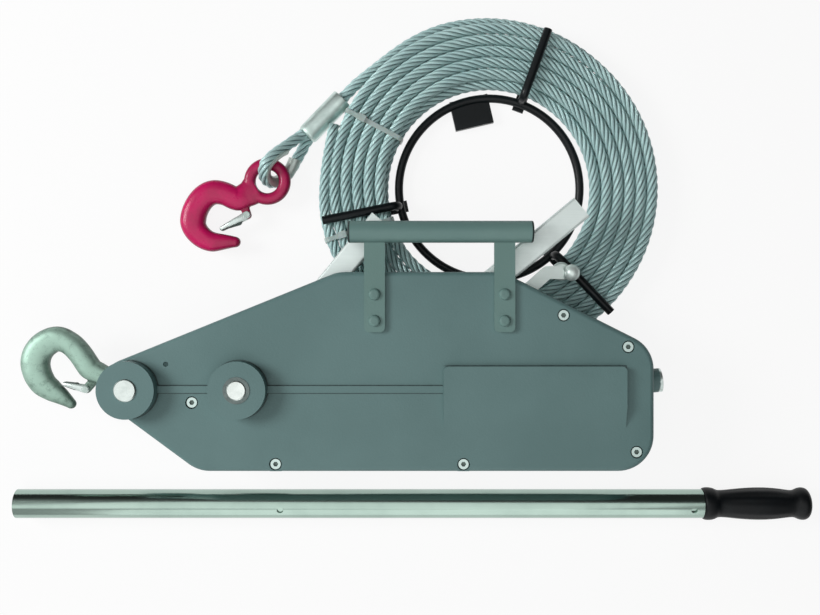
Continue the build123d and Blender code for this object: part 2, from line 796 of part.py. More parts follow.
def forged_bar(stations, z):
    """Oval bar swept through stations, rounded off at its far end."""
    edges = []
    for (x0, y0, a0, _, _), (x1, y1, a1, _, _) in zip(stations, stations[1:]):
        edges += biarc((x0, y0, z), heading(a0), (x1, y1, z), heading(a1))
    sections = []
    for x, y, angle, width, depth in stations:
        plane = Plane((x, y, z), x_dir=heading(angle + 90), z_dir=heading(angle))
        sections.append(plane * Ellipse(width / 2, depth / 2))
    bar = sweep(sections, path=Wire(edges), multisection=True)
    x, y, angle, width, depth = stations[-1]
    return bar + Pos(x, y, z) * Sphere(max(width, depth) / 2 + hook_nose)


def latch_sheet_part(root, end, z):
    """Folded sheet latch: two cheeks on either side of the hook's lug, joined by a web past it."""
    half = latch_lug / 2 + clear + latch_sheet
    gap = latch_lug / 2 + clear
    latch = slab(strip(root, end, 2 * latch_root_radius, 2 * latch_end_radius), z - half, z + half)
    room = Pos(*root) * Circle(2 * latch_root_radius)
    latch -= slab(room, z - gap, z + gap)
    return latch - cylinder_z(*root, z - half, z + half, latch_pin_radius + running)


def latch_lug_part(root, at, z):
    """Lug on a hook that carries its latch."""
    lug = slab(strip(root, at, 2 * latch_root_radius), z - latch_lug / 2, z + latch_lug / 2)
    return lug - cylinder_z(*at, z - latch_lug, z + latch_lug, latch_pin_radius + running)


def latch_pin(at, z):
    """Rivet through a latch and its lug."""
    half = latch_lug / 2 + 2 * clear + latch_sheet
    pin = cylinder_z(*at, z - half, z + half, latch_pin_radius)
    for side in (-1, 1):
        inner = z + side * half
        outer = inner + side * latch_sheet / 2
        pin += cylinder_z(*at, min(inner, outer), max(inner, outer), 1.6 * latch_pin_radius)
    return pin


anchor_hook = slab(Circle(anchor_eye_radius), hook_bottom, hook_top) + forged_bar(anchor_stations, parting)
anchor_hook -= cylinder_z(0, 0, rear_inside, front_inside, anchor_pin_radius + running)
anchor_hook += latch_lug_part(anchor_lug_root, anchor_latch_at, parting)
nodes["anchor_hook"] = anchor_hook
nodes["anchor_latch"] = latch_sheet_part(anchor_latch_at, anchor_latch_end, parting)
nodes["anchor_latch_pin"] = latch_pin(anchor_latch_at, parting)

# Rope eye, thimble and ferrule

rope_radius = rope_diameter / 2
ferrule_run = (ferrule_to[0] - ferrule_from[0], ferrule_to[1] - ferrule_from[1])
rope_angle = math.degrees(math.atan2(ferrule_run[1], ferrule_run[0]))
rope_out = Vector(*heading(rope_angle))
eye_angle = rope_angle + 180 + eye_turn
eye_in = Vector(*heading(eye_angle))
tilt = math.radians(eye_tilt)
eye_across = Vector(*heading(eye_angle - 90)) * math.cos(tilt) + Vector(0, 0, math.sin(tilt))
leg_across = Vector(*heading(rope_angle + 90)) * math.cos(tilt) + Vector(0, 0, math.sin(tilt))
eye_z = rope_radius + eye_floor_gap + eye_half_width * math.sin(tilt)
eye_start = Vector(*ferrule_from, ferrule_z)
eye_middle = Vector(*ferrule_from, eye_z) + eye_in * eye_length
leg = rope_radius + eye_leg_gap / 2


def eye_side(side):
    """One leg of the eye, from the ferrule to the start of its round end."""
    start = eye_start + leg_across * side * leg
    bend = start - rope_out * eye_lead
    end = eye_middle + eye_across * side * eye_half_width
    return start, bend, end


up_start, up_bend, up_end = eye_side(1)
low_start, low_bend, low_end = eye_side(-1)
eye_tip = eye_middle + eye_in * eye_half_width
up_arcs = biarc(up_bend, rope_out * -1, up_end, eye_in)
low_arcs = biarc(low_end, eye_in * -1, low_bend, rope_out)
round_end = Edge.make_three_point_arc(up_end, eye_tip, low_end)
eye_path = [Edge.make_line(up_start, up_bend)] + up_arcs + [round_end] + low_arcs
eye_path += [Edge.make_line(low_bend, low_start)]
nodes["rope_eye"] = swept(eye_path, Circle(rope_radius))

thimble_inner = rope_radius + clear
gutter = Circle(thimble_inner + thimble_wall) - Circle(thimble_inner)
thimble_path = Wire([up_arcs[1], round_end, low_arcs[0]])
gutter &= Pos(thimble_inner, 0) * Rectangle(2 * thimble_inner, 4 * thimble_inner)
gutter_plane = Plane(thimble_path @ 0, x_dir=eye_across * -1, z_dir=thimble_path % 0)
nodes["rope_thimble"] = sweep(gutter_plane * gutter, path=thimble_path)

ferrule_length = math.hypot(*ferrule_run)
ferrule_plane = Plane(eye_start, z_dir=rope_out)
nodes["rope_ferrule"] = extrude(ferrule_plane * Circle(ferrule_radius), amount=ferrule_length)

# Load hook on the rope eye

rim_at = eye_middle + eye_in * rim_past_eye
ring_dir = Vector(*heading(eye_angle + ring_turn))
ring_at = rim_at + ring_dir * load_ring_radius
ring_section = Pos(load_ring_radius, 0) * Ellipse(load_ring_width / 2, load_ring_depth / 2)
load_ring = Pos(ring_at) * revolve(Plane.XZ * ring_section, Axis.Z)
load_bar = forged_bar(load_stations, eye_z)
load_bar -= Pos(ring_at) * Cylinder(load_ring_radius, 4 * load_ring_depth)
load_hook = load_ring + load_bar + latch_lug_part(load_lug_root, load_latch_at, eye_z)
nodes["load_hook"] = load_hook
nodes["load_latch"] = latch_sheet_part(load_latch_at, load_latch_end, eye_z)
nodes["load_latch_pin"] = latch_pin(load_latch_at, eye_z)

# Rope coil: in and out again at a steady rate, climbing one layer in the half turn where it reverses

coil_inner = coil_outer_radius - coil_turns_in * coil_pitch
coil_low = reel_arm_thickness + clear + rope_radius


def coil_place(turn):
    """Point and direction of the rope after a number of clockwise turns."""
    angle = math.radians(coil_start_angle - 360 * turn)
    outward = 1 if turn > coil_turns_in else -1
    radius = coil_inner + coil_pitch * abs(turn - coil_turns_in)
    layer = coil_low + (coil_layer if turn > coil_turns_in else 0)
    out = Vector(math.cos(angle), math.sin(angle), 0)
    along = Vector(math.sin(angle), -math.cos(angle), 0)
    place = Vector(*coil_at, layer) + out * radius
    return place, along * radius + out * outward * coil_pitch / (2 * math.pi)


coil_edges = []
rope_start = eye_start + rope_out * ferrule_length
rope_lead = rope_start + rope_out * rope_diameter
coil_edges.append(Edge.make_line(rope_start, rope_lead))
settled = rope_lead + rope_out * 2.5 * rope_diameter
settled = Vector(settled.X, settled.Y, coil_low)
coil_edges += biarc(rope_lead, rope_out, settled, rope_out)
place, direction = settled, rope_out
half_turns = [0.5 * count for count in range(1, int(2 * coil_turns) + 1)]
for turn in half_turns + [coil_turns]:
    next_place, next_direction = coil_place(turn)
    coil_edges += biarc(place, direction, next_place, next_direction)
    place, direction = next_place, next_direction
tail = direction.normalized() * rope_diameter
coil_edges.append(Edge.make_line(place, place + tail))
coil_path = Wire(coil_edges)
nodes["rope_coil"] = swept(coil_edges, Circle(rope_radius))


def least_gap(edges, spacing):
    """Least distance between the surfaces of turns, measured on points along the rope."""
    points = []
    lengths = []
    run = 0.0
    for edge in edges:
        count = max(2, int(edge.length / spacing))
        for step in range(count):
            point = edge @ (step / count)
            points.append((point.X, point.Y, point.Z))
            lengths.append(run + edge.length * step / count)
        run += edge.length
    points = np.array(points)
    lengths = np.array(lengths)
    least = np.inf
    for place, length in zip(points, lengths):
        apart = np.linalg.norm(points - place, axis=1)
        least = min(least, apart[np.abs(lengths - length) > 10 * rope_diameter].min())
    return least - rope_diameter


rope_length = coil_path.length
rope_volume = math.pi * rope_radius**2 * rope_length
print("coil length", round(rope_length), "least gap", round(least_gap(coil_edges, 4.0), 2))
print("coil volume against section times length", round(nodes["rope_coil"].volume / rope_volume, 4))

# Reel and ties

reel_frame = Pos(*coil_at, 0)
reel_ring_radius = coil_inner - rope_radius - reel_ring_gap - reel_rod_radius
reel_post_radius = reel_ring_radius + reel_post_past
reel_arm_start = reel_ring_radius - reel_arm_inside
reel_arm_end = coil_outer_radius + reel_arm_past
ring_height = reel_arm_thickness + 0.85 * reel_rod_radius
bar_height = coil_low + coil_layer + rope_radius + clear + reel_rod_radius
reel = reel_frame * Pos(0, 0, ring_height) * Torus(reel_ring_radius, reel_rod_radius)
for angle, reach in reel_bars:
    turn = reel_frame * Rot(0, 0, angle)
    arm_middle = (reel_arm_start + reel_arm_end) / 2
    arm = Pos(arm_middle, 0) * Rectangle(reel_arm_end - reel_arm_start, reel_arm_width)
    reel += turn * slab(arm, 0, reel_arm_thickness)
    foot = (reel_post_radius, 0, reel_arm_thickness / 2)
    corner = (reel_post_radius, 0, bar_height)
    end = (coil_outer_radius + reach, 0, bar_height)
    rod = FilletPolyline(foot, corner, end, radius=reel_bend)
    reel += turn * swept(rod.edges(), Circle(reel_rod_radius))
nodes["rope_reel"] = reel

tab_turn = reel_frame * Rot(0, 0, tab_angle)
tab_at = Pos(reel_ring_radius + tab_over - tab_width / 2, 0, tab_foot + tab_height / 2)
tab = tab_at * Box(tab_width, tab_length, tab_height)
tab -= Pos(0, 0, ring_height) * Torus(reel_ring_radius, reel_rod_radius + running)
nodes["reel_tab"] = tab_turn * tab

tie_low = coil_low - rope_radius - clear
tie_high = coil_low + coil_layer + rope_radius + clear


def cable_tie(angle):
    """Band drawn round all the turns at one angle, with its locking head on top."""
    first = (coil_start_angle - angle) % 360 / 360
    turns = [first + count for count in range(int(coil_turns - first) + 1)]
    radii = [coil_inner + coil_pitch * abs(turn - coil_turns_in) for turn in turns]
    near = min(radii) - rope_radius - 2 * clear
    far = max(radii) + rope_radius + 2 * clear
    middle = Pos((near + far) / 2, (tie_low + tie_high) / 2)
    span = (far - near, tie_high - tie_low)
    outside = (span[0] + 2 * tie_thickness, span[1] + 2 * tie_thickness)
    band = middle * RectangleRounded(*outside, tie_corner + tie_thickness)
    band -= middle * RectangleRounded(*span, tie_corner)
    tie = extrude(Plane.XZ * band, amount=tie_width / 2, both=True)
    tie += Pos(far - 2 * tie_head[0], 0, tie_high + tie_head[2] / 2) * Box(*tie_head)
    return Pos(*coil_at, 0) * Rot(0, 0, angle) * tie


ties = [cable_tie(angle) for angle in tie_angles]
nodes["cable_ties"] = Compound(ties)

# Operating lever

handle_z = grip_end_radius + 0.1


def handle_bar(x0, x1, radius):
    """Round bar on the operating lever's axis."""
    return bar_x(x0, x1, handle_y, handle_z, radius)


def button_bar(x, low, high, radius):
    """Round bar across the lever at the lock button's roll, between two heights over its axis."""
    bar = cylinder_z(0, 0, low, high, radius)
    return Pos(x, handle_y, handle_z) * Rot(button_roll, 0, 0) * bar


outer_tube = handle_bar(handle_left, handle_right, handle_radius)
outer_tube -= handle_bar(handle_left, handle_right, handle_bore)
outer_tube -= handle_bar(handle_left, handle_left + socket_depth, socket_bore)
for x in button_places:
    outer_tube -= button_bar(x, 0, 2 * handle_radius, button_radius + clear)
nodes["operating_tube_outer"] = outer_tube

grip_left = handle_right + grip_left_gap
inner_right = grip_left + grip_insert
inner_bore = inner_radius - inner_wall
inner_tube = handle_bar(inner_left, inner_right, inner_radius)
inner_tube -= handle_bar(inner_left, inner_right, inner_bore)
inner_tube -= button_bar(button_places[0], 0, 2 * handle_radius, button_radius + running)
nodes["operating_tube_inner"] = inner_tube

flange_top = math.sqrt(inner_bore**2 - button_flange_radius**2) - button_travel - clear
flange_bottom = flange_top - button_flange_thickness
button_top = math.sqrt((handle_bore - 2 * running) ** 2 - button_radius**2)
lock_button = button_bar(button_places[0], flange_top, button_top, button_radius)
lock_button += button_bar(button_places[0], flange_bottom, flange_top, button_flange_radius)
nodes["lock_button"] = lock_button

leaf_high = flange_bottom
leaf_low = clear - math.sqrt(inner_bore**2 - (leaf_width / 2) ** 2)
leaf_depth = leaf_high - leaf_low
leaf = SlotOverall(2 * leaf_length, leaf_depth)
leaf -= SlotOverall(2 * (leaf_length - leaf_thickness), leaf_depth - 2 * leaf_thickness)
leaf &= Pos(-leaf_length / 2, 0) * Rectangle(leaf_length, 2 * leaf_depth)
leaf_part = extrude(Plane.XZ * leaf, amount=leaf_width / 2, both=True)
leaf_place = Pos(button_places[0] + 2 * button_flange_radius, handle_y, handle_z) * Rot(button_roll, 0, 0)
nodes["button_spring"] = leaf_place * Pos(0, 0, (leaf_high + leaf_low) / 2) * leaf_part

grip_right = grip_left + grip_length
collar_end = grip_left + grip_collar_length
belly = grip_left + grip_belly_x
dome = grip_end_radius
with BuildSketch(Plane.XZ) as grip_half:
    with BuildLine():
        Line((grip_left, 0), (grip_left, grip_end_radius))
        Line((grip_left, grip_end_radius), (collar_end, grip_end_radius))
        Line((collar_end, grip_end_radius), (collar_end, grip_waist_radius))
        waist = (grip_right - dome, grip_waist_radius)
        ThreePointArc((collar_end, grip_waist_radius), (belly, grip_end_radius), waist)
        ThreePointArc(waist, (grip_right - dome / 2, grip_end_radius), (grip_right - 2, grip_waist_radius))
        Line((grip_right - 2, grip_waist_radius), (grip_right, grip_waist_radius - 2))
        Line((grip_right, grip_waist_radius - 2), (grip_right, 0))
        Line((grip_right, 0), (grip_left, 0))
    make_face()
grip_part = Pos(0, handle_y, handle_z) * revolve(grip_half.sketch, Axis.X)
grip_part -= handle_bar(grip_left, inner_right, inner_radius + running)
nodes["operating_grip"] = grip_part

for name, solid in nodes.items():
    export_step(solid, f"parts/{name}.step")
    print(name, round(solid.volume))
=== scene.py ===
import math

import bmesh
import bpy
import numpy as np
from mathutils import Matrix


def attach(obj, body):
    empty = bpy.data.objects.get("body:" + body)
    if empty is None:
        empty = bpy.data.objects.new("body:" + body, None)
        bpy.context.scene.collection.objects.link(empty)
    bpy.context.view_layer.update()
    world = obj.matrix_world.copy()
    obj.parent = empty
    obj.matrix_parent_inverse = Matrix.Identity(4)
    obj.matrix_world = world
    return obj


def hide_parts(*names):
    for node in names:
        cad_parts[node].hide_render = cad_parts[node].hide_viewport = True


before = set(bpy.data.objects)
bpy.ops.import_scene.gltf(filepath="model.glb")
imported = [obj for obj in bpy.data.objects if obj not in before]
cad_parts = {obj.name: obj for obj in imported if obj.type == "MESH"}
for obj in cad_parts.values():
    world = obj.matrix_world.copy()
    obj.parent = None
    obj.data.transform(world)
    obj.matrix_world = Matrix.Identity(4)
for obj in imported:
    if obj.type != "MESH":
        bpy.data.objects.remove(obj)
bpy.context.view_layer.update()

mm = 0.001

# Casing: two pressed steel shells with bosses, ribs and a raised panel over the rope grips, screwed
# together round the edge, and the carrying straps riveted to them. All are sprayed in a satin greenish
# grey enamel with faint orange peel and slow drifts of tone; shade is painted along the front shell's
# folds.


class Wire:
    """A shader socket in a formula: each operator adds the Math node that it stands for."""

    def __init__(self, finish, socket):
        self.finish = finish
        self.socket = socket

    def reckon(self, operation, *values):
        """A Math node of the operation on the values."""
        return self.finish.node("ShaderNodeMath", {"operation": operation}, dict(enumerate(values)))

    def __add__(self, other):
        return self.reckon("ADD", self, other)

    __radd__ = __add__

    def __sub__(self, other):
        return self.reckon("SUBTRACT", self, other)

    def __rsub__(self, other):
        return self.reckon("SUBTRACT", other, self)

    def __mul__(self, other):
        return self.reckon("MULTIPLY", self, other)

    __rmul__ = __mul__

    def __abs__(self):
        return self.reckon("ABSOLUTE", self)

    def most(self, other):
        """The greater of two values."""
        return self.reckon("MAXIMUM", self, other)

    def wave(self):
        """The sine of the value."""
        return self.reckon("SINE", self)


class Finish:
    """A material of one Principled shader; the values given here are the same all over the surface."""

    def __init__(self, name, **values):
        self.material = bpy.data.materials.new(name)
        self.material.use_nodes = True
        self.tree = self.material.node_tree
        self.shader = self.tree.nodes["Principled BSDF"]
        for socket, value in values.items():
            self.shader.inputs[socket.replace("_", " ")].default_value = value

    def node(self, kind, settings=None, inputs=None, output=0):
        """Any node: its type, its settings, the values or links of its sockets and the output wanted."""
        made = self.tree.nodes.new(kind)
        for name, value in (settings or {}).items():
            setattr(made, name, value)
        for name, value in (inputs or {}).items():
            self.feed(made.inputs[name], value)
        return Wire(self, made.outputs[output])

    def feed(self, socket, value):
        """Link a wire to a socket, or set the socket's own value."""
        if isinstance(value, Wire):
            self.tree.links.new(value.socket, socket)
        else:
            socket.default_value = value

    def place(self, turn=(0, 0, 0), scale=(1, 1, 1)):
        """Object coordinates in metres, turned and stretched for a pattern with a direction."""
        at = self.node("ShaderNodeTexCoord", output="Object")
        settings = {"Vector": at, "Rotation": turn, "Scale": scale}
        return self.node("ShaderNodeMapping", inputs=settings)

    def split(self, vector):
        """The three parts of a vector."""
        parts = self.node("ShaderNodeSeparateXYZ", inputs={0: vector})
        return [Wire(self, part) for part in parts.socket.node.outputs]

    def distance(self, centre):
        """Distance in metres from an upright axis."""
        at = self.node("ShaderNodeTexCoord", output="Object")
        off = self.node("ShaderNodeVectorMath", {"operation": "SUBTRACT"}, {0: at, 1: (*centre, 0)})
        flat = self.node("ShaderNodeVectorMath", {"operation": "MULTIPLY"}, {0: off, 1: (1, 1, 0)})
        return self.node("ShaderNodeVectorMath", {"operation": "LENGTH"}, {0: flat}, "Value")

    def noise(self, scale, detail=4, at=None):
        """Noise from 0 to 1 with so many cells in a metre."""
        spot = at or self.place()
        values = {"Vector": spot, "Scale": scale, "Detail": detail, "Roughness": 0.55}
        return self.node("ShaderNodeTexNoise", inputs=values)

    def spread(self, value, low, high):
        """Stretch the range from low to high over 0 to 1, clamped at both ends."""
        values = {"Value": value, "From Min": low, "From Max": high}
        return self.node("ShaderNodeMapRange", {"interpolation_type": "SMOOTHSTEP"}, values)

    def blend(self, factor, first, second):
        """Mix of two colours, the second where the factor is 1."""
        values = {"Factor": factor, 6: first, 7: second}
        return self.node("ShaderNodeMix", {"data_type": "RGBA"}, values, 2)

    def coat(self, colour, roughness=None, height=None, depth=0.0001, metallic=None):
        """Feed the shader: colour, roughness, a relief so many metres deep, and how metallic it is."""
        self.feed(self.shader.inputs["Base Color"], colour)
        if roughness is not None:
            self.feed(self.shader.inputs["Roughness"], roughness)
        if metallic is not None:
            self.feed(self.shader.inputs["Metallic"], metallic)
        if height is not None:
            relief = self.node("ShaderNodeBump", inputs={"Height": height, "Distance": depth})
            self.feed(self.shader.inputs["Normal"], relief)
        return self.material


def tint(code):
    """Linear colour of a six digit screen colour."""
    parts = np.array([int(code[i:i + 2], 16) for i in (0, 2, 4)]) / 255
    linear = np.where(parts <= 0.04045, parts / 12.92, ((parts + 0.055) / 1.055) ** 2.4)
    return (*linear.tolist(), 1.0)


def dress(material, *names):
    """Give CAD pieces a finish, with their round faces shaded smooth between sharp edges."""
    for name in names:
        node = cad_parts[name]
        node.data.materials.clear()
        node.data.materials.append(material)
        node.data.polygons.foreach_set("use_smooth", np.ones(len(node.data.polygons), bool))
        weld = node.modifiers.new("joined", "WELD")
        weld.merge_threshold = 0.000002
        split = node.modifiers.new("sharp edges", "EDGE_SPLIT")
        split.split_angle = math.radians(28)


def enamel(name, colour, thin, roughness, painted_shade=None):
    """Sprayed enamel: colour drifting slowly towards a thinner tone, dust specks, orange peel and, where
    a shade formula is given, painted shade there."""
    paint = Finish(name, Specular_IOR_Level=0.35, Coat_Roughness=0.25)
    drift = paint.spread(paint.noise(9, 3), 0.3, 0.75)
    dust = paint.spread(paint.noise(1400, 2), 0.62, 0.8)
    tone = paint.blend(drift * 0.5 + dust * 0.35, tint(colour), tint(thin))
    # Painted shade: where a shade formula is given, the tone is darkened towards a dark grey green.
    if painted_shade:
        tone = paint.blend(painted_shade(paint), tone, tint("26302f"))
    peel = paint.noise(420, 2) + 0.5 * paint.noise(1500, 2)
    smear = paint.noise(60, 5)
    return paint.coat(tone, roughness - 0.08 + 0.16 * smear, peel, 0.00014)


casing_grey = "5f7d7c"
casing_pale = "6c8b8a"
anchor_axis = (0, 0)
pivot_axis = (107.3 * mm, 0)
boss_radius = 28.4 * mm
rib_half_width = 3.7 * mm
panel_left = 306.0 * mm
panel_right = 486.1 * mm
panel_top = 23.0 * mm
# Widths of the painted shade lines at the casing's folds.
shade_line_core = 0.2 * mm
shade_line_edge = 1.2 * mm


def painted_fold_shade(paint):
    """Painted shade along the foot of the rib, the two bosses and the panel: a line a millimetre wide where
    the distance from each outline is nearly nothing, on the front shell's face only."""
    x, y, z = paint.split(paint.place())
    rib = (abs(y) - rib_half_width).most(x - panel_left)
    panel = (x - panel_right).most(y - panel_top)
    past_boss = paint.spread(x, 20 * mm, 28 * mm)
    up_side = paint.spread(y, -36 * mm, -20 * mm)
    past_rib = paint.spread(x, panel_left, panel_left + 6 * mm)
    line = paint.spread(abs(rib), 1.1 * mm, shade_line_core) * past_boss
    line = line.most(paint.spread(abs(panel), shade_line_edge, shade_line_core) * up_side * past_rib)
    for axis in (anchor_axis, pivot_axis):
        line = line.most(paint.spread(abs(paint.distance(axis) - boss_radius), shade_line_edge, shade_line_core))
    face = paint.spread(z, 85.6 * mm, 86.2 * mm) * paint.spread(z, 88.4 * mm, 87.9 * mm)
    return line * face * (0.4 + 0.6 * paint.noise(240, 3))


dress(enamel("casing_enamel", casing_grey, casing_pale, 0.5, painted_fold_shade), "front_cover", "rear_cover")
dress(enamel("strap_enamel", "66857f", "708f8b", 0.48), "carry_straps", "strap_rivets")

# Rope guide: the turned inlet bush at the casing's end, sprayed with it, and worn to bright steel round
# its mouth by the rope.

guide = Finish("guide_enamel", Specular_IOR_Level=0.4)
ragged_x = guide.split(guide.place())[0] + 0.002 * guide.noise(300, 3)
worn = guide.spread(ragged_x, 525.6 * mm, 527 * mm)
sprayed = guide.blend(guide.noise(60), tint(casing_grey), tint(casing_pale))
guide.coat(guide.blend(worn, sprayed, tint("dfece8")), 0.5 - 0.2 * worn, guide.noise(420, 2),
           metallic=worn * 0.7)
dress(guide.material, "rope_guide")

# Works inside the casing: two rope grips of flat plate with guide rods and grooved jaw blocks,
# their springs, and the cranks and link that drive them. Plain oiled steel, turned, sawn and ground.


def machined(name, colour, dark, roughness, grain, turn=(0, 0, 0)):
    """Machined steel: fine tool lines along one direction, and patches that are duller and darker."""
    steel = Finish(name, Metallic=1.0)
    lines = steel.noise(1, 3, steel.place(turn, (grain * 0.03, grain, grain)))
    patch = steel.spread(steel.noise(55, 5), 0.35, 0.7)
    tone = steel.blend(0.45 * patch + 0.4 * lines, tint(colour), tint(dark))
    return steel.coat(tone, roughness + 0.12 * patch + 0.1 * lines, lines, 0.00003)


oiled_steel = machined("oiled_steel", "a9aeac", "6f7675", 0.34, 900)
dress(oiled_steel, "front_carrier_plates", "rear_carrier_plates", "front_carrier_ties", "rear_carrier_ties",
      "front_upper_jaw", "front_lower_jaw", "rear_upper_jaw", "rear_lower_jaw", "front_jaw_springs",
      "rear_jaw_springs", "forward_crank", "reverse_crank", "reverse_link", "shear_pins",
      "forward_lever_pin", "reverse_lever_pins", "release_lever_pin", "anchor_spacers", "button_spring")

# Pins that hold the casing together at the hook and at the reverse lever: bright ground bar with turned
# ends, in darker bushes, with spring rings. Lathe rings show on their end faces.


def turned_ends(name, colour, dark, centre, roughness):
    """Turned end faces: rings about the pin's own axis, a sine of the distance, under a thin oil film."""
    steel = Finish(name, Metallic=1.0)
    rings = (steel.distance(centre) * 9000).wave()
    film = steel.spread(steel.noise(130, 4), 0.35, 0.7)
    tone = steel.blend(0.3 * film + 0.08 * rings, tint(colour), tint(dark))
    return steel.coat(tone, roughness + 0.1 * film, rings, 0.00001)


dress(turned_ends("anchor_pin_steel", "d3dcd8", "a3adaa", anchor_axis, 0.3), "anchor_pin", "pin_rings")
dress(turned_ends("pivot_pin_steel", "dfe6e2", "b3bcb8", pivot_axis, 0.3), "pivot_pin")
dress(turned_ends("bush_steel", "6d7876", "444d4c", pivot_axis, 0.42), "pivot_bushes")

# Screws round the casing's edge: turned steel with socket heads, bright zinc plated, with shade painted
# down in the sockets where the key goes.

screw_zinc = Finish("screw_zinc", Metallic=0.8)
socket_rim = 85.3 * mm
socket_floor = 84.9 * mm
# Painted shade: the zinc turns dark grey towards the floor of each socket.
socket = screw_zinc.spread(screw_zinc.split(screw_zinc.place())[2], socket_rim, socket_floor)
scuff = screw_zinc.noise(900, 3)
screw_zinc.coat(screw_zinc.blend(socket, tint("c2d4cf"), tint("66746f")), 0.26 + 0.1 * scuff + 0.2 * socket,
                scuff, 0.00002)
dress(screw_zinc.material, "cover_screws")

# Levers: forward and reverse arms of rectangular tube on cranks, and the release lever, cut from
# plate, with its ball knob. All bright zinc plated, rubbed along their length by the operating tube.

forward_bearing = 39.6
reverse_bearing = 50.7


def plated(name, colour, dark, roughness, bearing=0.0):
    """Zinc plate: soft crystal bloom, fine lines rubbed along one bearing and a few dull handling marks."""
    zinc = Finish(name, Metallic=0.5)
    bloom = zinc.noise(95, 4)
    rubbed = zinc.noise(1, 3, zinc.place((0, 0, -math.radians(bearing)), (22, 620, 620)))
    mark = zinc.spread(zinc.noise(30, 4), 0.5, 0.8)
    tone = zinc.blend(0.35 * mark + 0.3 * rubbed + 0.15 * bloom, tint(colour), tint(dark))
    return zinc.coat(tone, roughness + 0.08 * mark + 0.1 * rubbed, rubbed, 0.00002)


dress(plated("forward_lever_zinc", "f0fbf8", "d3e0dc", 0.36, forward_bearing), "forward_lever")
dress(plated("reverse_lever_zinc", "f0fbf8", "d3e0dc", 0.36, reverse_bearing), "reverse_lever")
dress(plated("release_lever_zinc", "e9f5f1", "c6d4cf", 0.36), "release_lever")
dress(plated("knob_steel", "eefaf6", "ccdcd7", 0.34), "release_knob")

# Carrying handle: a steel tube across the two straps in the casing's paint, rubbed smooth by the hand,
# and closed by moulded black plastic plugs.

dress(enamel("handle_enamel", "688884", "77968f", 0.42), "carry_handle_tube")


def moulded(name, colour, worn, roughness, grain):
    """Moulded plastic or rubber: fine pitted grain, paler where it has been rubbed, with dull patches."""
    skin = Finish(name, Specular_IOR_Level=0.25)
    pits = skin.noise(grain, 3)
    rub = skin.spread(skin.noise(45, 4), 0.45, 0.8)
    tone = skin.blend(0.6 * rub + 0.2 * pits, tint(colour), tint(worn))
    return skin.coat(tone, roughness + 0.15 * pits - 0.1 * rub, pits, 0.00006)


dress(moulded("plug_plastic", "23302f", "3a4846", 0.42, 2600), "handle_end_plugs")

# Anchor hook on the pin at the casing's end: one drop forging of a plain eye, a bowed shank and a thick
# bowl with a drawn out point, zinc plated over its fire scale. Its latch is folded sheet on a rivet.


def grid_mesh(name, grid, wrap_rows=False, uv=None):
    """Mesh of a grid of points: each ring of columns closes on itself, and the end rings are capped."""
    rows, columns = grid.shape[:2]
    last = rows if wrap_rows else rows - 1
    i, j = np.meshgrid(np.arange(last), np.arange(columns), indexing="ij")
    k = (i + 1) % rows
    n = (j + 1) % columns
    faces = np.stack([i * columns + j, i * columns + n, k * columns + n, k * columns + j], -1)
    caps = []
    if not wrap_rows:
        caps = [list(range(columns))[::-1], list(range((rows - 1) * columns, rows * columns))]
    mesh = bpy.data.meshes.new(name)
    mesh.from_pydata(grid.reshape(-1, 3).tolist(), [], faces.reshape(-1, 4).tolist() + caps)
    if uv is not None:
        corners = np.stack([uv[:-1, :-1], uv[:-1, 1:], uv[1:, 1:], uv[1:, :-1]], 2).reshape(-1, 2)
        ends = np.zeros((len(mesh.loops) - len(corners), 2))
        layer = mesh.uv_layers.new(name="lay")
        layer.data.foreach_set("uv", np.concatenate([corners, ends]).ravel())
    mesh.polygons.foreach_set("use_smooth", np.ones(len(mesh.polygons), bool))
    mesh.update()
    return mesh


def outward(mesh):
    """Turn every face of a closed mesh to the outside."""
    shell = bmesh.new()
    shell.from_mesh(mesh)
    bmesh.ops.remove_doubles(shell, verts=shell.verts, dist=0.000001)
    bmesh.ops.recalc_face_normals(shell, faces=shell.faces)
    shell.to_mesh(mesh)
    shell.free()
    return mesh


def shells_in_one(name, shells):
    """One mesh of several closed shells."""
    whole = bmesh.new()
    for shell in shells:
        whole.from_mesh(shell)
    mesh = bpy.data.meshes.new(name)
    whole.to_mesh(mesh)
    whole.free()
    return mesh


def piece(name, mesh, material, body, slot, *nodes):
    """Object at the origin that rides on a body and stands for the CAD pieces named."""
    thing = bpy.data.objects.new(name, mesh)
    bpy.context.collection.objects.link(thing)
    mesh.materials.clear()
    mesh.materials.append(material)
    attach(thing, body)
    if nodes:
        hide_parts(*nodes)
    return thing


def squarish(angle, power):
    """Superellipse section of unit half width: cosine and sine, each raised to 2 over the power."""
    across = np.sign(np.cos(angle)) * np.abs(np.cos(angle)) ** (2 / power)
    over = np.sign(np.sin(angle)) * np.abs(np.sin(angle)) ** (2 / power)
    return across, over


section_angle = np.linspace(0, 2 * math.pi, 48, endpoint=False)


